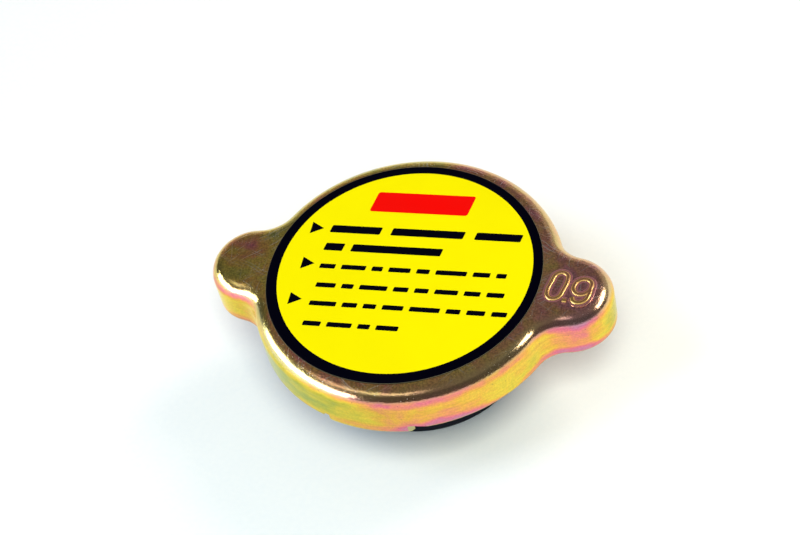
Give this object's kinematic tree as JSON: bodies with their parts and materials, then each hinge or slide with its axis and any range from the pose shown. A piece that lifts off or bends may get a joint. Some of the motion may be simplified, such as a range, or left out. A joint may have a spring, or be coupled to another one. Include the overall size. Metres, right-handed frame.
{
  "type": "radiator cap",
  "caption": "Pressed steel radiator cap with finger ears, folded bayonet tabs and a round label, carrying a sprung pressure valve and a vacuum valve.",
  "frame": {"origin": "centre of the foot rim that the cap stands on, at its lowest face, on the cap's axis", "axes": "+Z along the cap's axis, up out of the label; +X from the axis to the numbered ear; +Y to the far locking tab"},
  "size_m": [0.082, 0.062, 0.0277],
  "materials": {
    "yellow_zinc": "yellow chromated zinc, iridescent",
    "label_print": "printed film",
    "bright_steel": "bright plated",
    "spring_steel": "drawn wire and rolled strip",
    "plain_brass": "satin",
    "black_rubber": "matt moulded"
  },
  "bodies": {
    "cap": {"cap_shell": "yellow_zinc", "label": "label_print"},
    "carrier": {"rivet": "bright_steel", "swivel_washer": "plain_brass", "spring_disc": "spring_steel", "neck_gasket": "black_rubber", "spring_cage": "yellow_zinc", "pressure_spring": "spring_steel"},
    "pressure_valve": {"valve_pan": "yellow_zinc", "seal_plate": "yellow_zinc", "pressure_seal": "black_rubber", "seal_eyelet": "bright_steel", "vacuum_spring": "spring_steel"},
    "vacuum_valve": {"vacuum_poppet": "plain_brass", "vacuum_seal": "black_rubber", "spring_collar": "plain_brass"}
  },
  "joints": [
    {"name": "valve_swivel", "type": "hinge", "parent": "cap", "child": "carrier", "pos_m": [0, 0, 0.026], "axis": [0, 0, 1], "continuous": true},
    {"name": "pressure_lift", "type": "slide", "parent": "carrier", "child": "pressure_valve", "axis": [0, 0, 1], "range_m": [0, 0.003], "stiffness_N_per_m": 2000, "springref_m": -0.0007, "deforming": ["pressure_spring"]},
    {"name": "vacuum_drop", "type": "slide", "parent": "pressure_valve", "child": "vacuum_valve", "axis": [0, 0, -1], "range_m": [0, 0.0015], "stiffness_N_per_m": 150, "springref_m": -0.001, "deforming": ["vacuum_spring"]}
  ]
}
